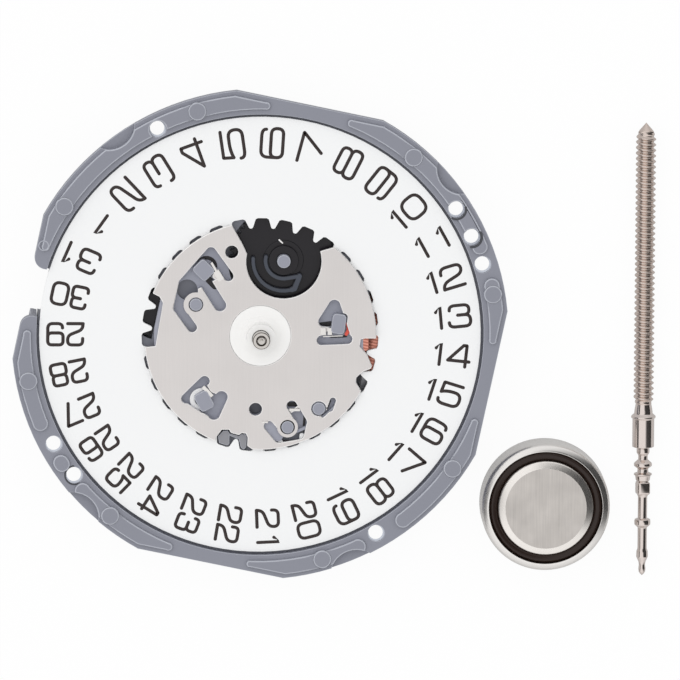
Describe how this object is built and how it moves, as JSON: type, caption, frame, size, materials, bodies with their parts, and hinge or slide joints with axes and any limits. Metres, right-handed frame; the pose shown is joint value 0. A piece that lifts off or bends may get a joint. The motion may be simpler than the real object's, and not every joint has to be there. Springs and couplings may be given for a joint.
{
  "type": "watch movement",
  "caption": "Round quartz watch movement in a plastic casing ring, with date ring, guard plate, gear train, hand pipes, loose winding stem and button battery.",
  "frame": {"origin": "on the hands' axis, in the plane of the back cover's outer face", "axes": "+Z along the hands' axis towards the dial side; +X towards the loose battery and stem; twelve o'clock lies 12 degrees clockwise of +Y"},
  "size_m": [0.0339, 0.0262, 0.0049],
  "materials": {
    "ring_plastic": "moulded, faint sheen",
    "plate_plastic": "moulded",
    "date_white": "printed with dark figures",
    "guard_metal": "satin",
    "grey_plastic": "moulded, a little clear",
    "black_plastic": "moulded",
    "white_plastic": "disc of plastic, pipe of metal",
    "wheel_plastic": "moulded",
    "polished_metal": "turned and polished",
    "brass": "turned",
    "magnet_dark": "sintered",
    "soft_iron": "punched sheet",
    "copper_wire": "enamelled copper wire",
    "board_green": "solder mask",
    "chip_black": "resin",
    "steel": "sheet and turned steel",
    "contact_metal": "sprung sheet",
    "battery_steel": "drawn and brushed",
    "gasket_rubber": "moulded"
  },
  "bodies": {
    "movement": {"main_plate": "plate_plastic", "casing_ring": "ring_plastic", "date_guard_plate": "guard_metal", "date_jumper": "grey_plastic", "stator": "soft_iron", "coil_core": "soft_iron", "coil_winding": "copper_wire", "coil_terminal_board": "board_green", "train_bridge": "brass", "circuit_board": "board_green", "ic_chip": "chip_black", "quartz_crystal": "steel", "back_cover": "steel", "bridge_screws": "steel", "battery_clamp": "steel", "battery_contact": "contact_metal", "yoke_spring": "steel", "battery_can": "battery_steel", "battery_cap": "battery_steel", "battery_gasket": "gasket_rubber", "winding_stem": "steel"},
    "date_ring": {"date_ring": "date_white"},
    "date_driving_wheel": {"date_driving_wheel": "black_plastic", "date_finger": "black_plastic"},
    "hour_wheel": {"hour_wheel": "white_plastic"},
    "minute_pipe": {"minute_pipe": "polished_metal"},
    "minute_wheel": {"minute_wheel": "wheel_plastic"},
    "setting_wheel": {"setting_wheel": "wheel_plastic"},
    "date_corrector_wheel": {"date_corrector_wheel": "black_plastic"},
    "center_wheel": {"center_wheel": "brass"},
    "second_wheel": {"second_wheel": "polished_metal"},
    "third_wheel": {"third_wheel": "wheel_plastic"},
    "fifth_wheel": {"fifth_wheel": "wheel_plastic"},
    "rotor": {"rotor_pinion": "polished_metal", "rotor_magnet": "magnet_dark"},
    "setting_lever": {"setting_lever": "steel"},
    "yoke": {"yoke": "steel"},
    "clutch_wheel": {"clutch_wheel": "steel"},
    "reset_lever": {"reset_lever": "steel"}
  },
  "joints": [
    {"name": "date_ring_turn", "type": "hinge", "parent": "movement", "child": "date_ring", "pos_m": [0, 0, 0.0026], "axis": [0, 0, 1], "continuous": true, "deforming": ["date_jumper"]},
    {"name": "hour_wheel_turn", "type": "hinge", "parent": "movement", "child": "hour_wheel", "pos_m": [0, 0, 0.0023], "axis": [0, 0, 1], "continuous": true},
    {"name": "minute_pipe_turn", "type": "hinge", "parent": "movement", "child": "minute_pipe", "pos_m": [0, 0, 0.0019], "axis": [0, 0, 1], "continuous": true},
    {"name": "minute_wheel_turn", "type": "hinge", "parent": "movement", "child": "minute_wheel", "pos_m": [-0.0017, -0.00024, 0.0019], "axis": [0, 0, 1], "continuous": true},
    {"name": "setting_wheel_turn", "type": "hinge", "parent": "movement", "child": "setting_wheel", "pos_m": [-0.00385, -0.00026, 0.0019], "axis": [0, 0, 1], "continuous": true},
    {"name": "date_corrector_turn", "type": "hinge", "parent": "movement", "child": "date_corrector_wheel", "pos_m": [-0.00533, 0.00113, 0.0019], "axis": [0, 0, 1], "continuous": true},
    {"name": "date_driving_turn", "type": "hinge", "parent": "movement", "child": "date_driving_wheel", "pos_m": [0.00122, 0.00393, 0.0022], "axis": [0, 0, 1], "continuous": true},
    {"name": "second_wheel_turn", "type": "hinge", "parent": "movement", "child": "second_wheel", "pos_m": [0, 0, 0.001], "axis": [0, 0, 1], "continuous": true},
    {"name": "fifth_wheel_turn", "type": "hinge", "parent": "movement", "child": "fifth_wheel", "pos_m": [0.00186, -0.00199, 0.0009], "axis": [0, 0, 1], "continuous": true},
    {"name": "rotor_turn", "type": "hinge", "parent": "movement", "child": "rotor", "pos_m": [0.00328, -0.00288, 0.0012], "axis": [0, 0, 1], "continuous": true},
    {"name": "third_wheel_turn", "type": "hinge", "parent": "movement", "child": "third_wheel", "pos_m": [-0.00061, 0.00265, 0.0012], "axis": [0, 0, 1], "continuous": true},
    {"name": "center_wheel_turn", "type": "hinge", "parent": "movement", "child": "center_wheel", "pos_m": [0, 0, 0.0014], "axis": [0, 0, 1], "continuous": true},
    {"name": "setting_lever_swing", "type": "hinge", "parent": "movement", "child": "setting_lever", "pos_m": [-0.00877, 0.00442, 0.00122], "axis": [0, 0, -1], "range_deg": [-0.01, 18.01]},
    {"name": "yoke_swing", "type": "hinge", "parent": "movement", "child": "yoke", "pos_m": [-0.00857, -0.00114, 0.00122], "axis": [0, 0, -1], "range_deg": [-0.01, 7.01]},
    {"name": "reset_lever_swing", "type": "hinge", "parent": "movement", "child": "reset_lever", "pos_m": [-0.00454, -0.00118, 0.00086], "axis": [0, 0, 1], "range_deg": [-0.01, 2.01]},
    {"name": "clutch_slide", "type": "slide", "parent": "movement", "child": "clutch_wheel", "axis": [0.9781, -0.2079, 0], "range_m": [0, 0.0003]}
  ],
  "couplings": [
    {"joint": "minute_pipe_turn", "follows": "hour_wheel_turn", "ratio": 12},
    {"joint": "minute_wheel_turn", "follows": "hour_wheel_turn", "ratio": -4},
    {"joint": "setting_wheel_turn", "follows": "hour_wheel_turn", "ratio": 6},
    {"joint": "date_corrector_turn", "follows": "hour_wheel_turn", "ratio": -4.3636},
    {"joint": "date_driving_turn", "follows": "hour_wheel_turn", "ratio": -0.5},
    {"joint": "fifth_wheel_turn", "follows": "second_wheel_turn", "ratio": -5},
    {"joint": "rotor_turn", "follows": "second_wheel_turn", "ratio": 30},
    {"joint": "third_wheel_turn", "follows": "second_wheel_turn", "ratio": -0.13333},
    {"joint": "center_wheel_turn", "follows": "second_wheel_turn", "ratio": 0.016667},
    {"joint": "setting_lever_swing", "follows": "clutch_slide", "rad_per_m": 1047.2},
    {"joint": "yoke_swing", "follows": "clutch_slide", "rad_per_m": 407.24},
    {"joint": "reset_lever_swing", "follows": "clutch_slide", "rad_per_m": 116.36}
  ]
}
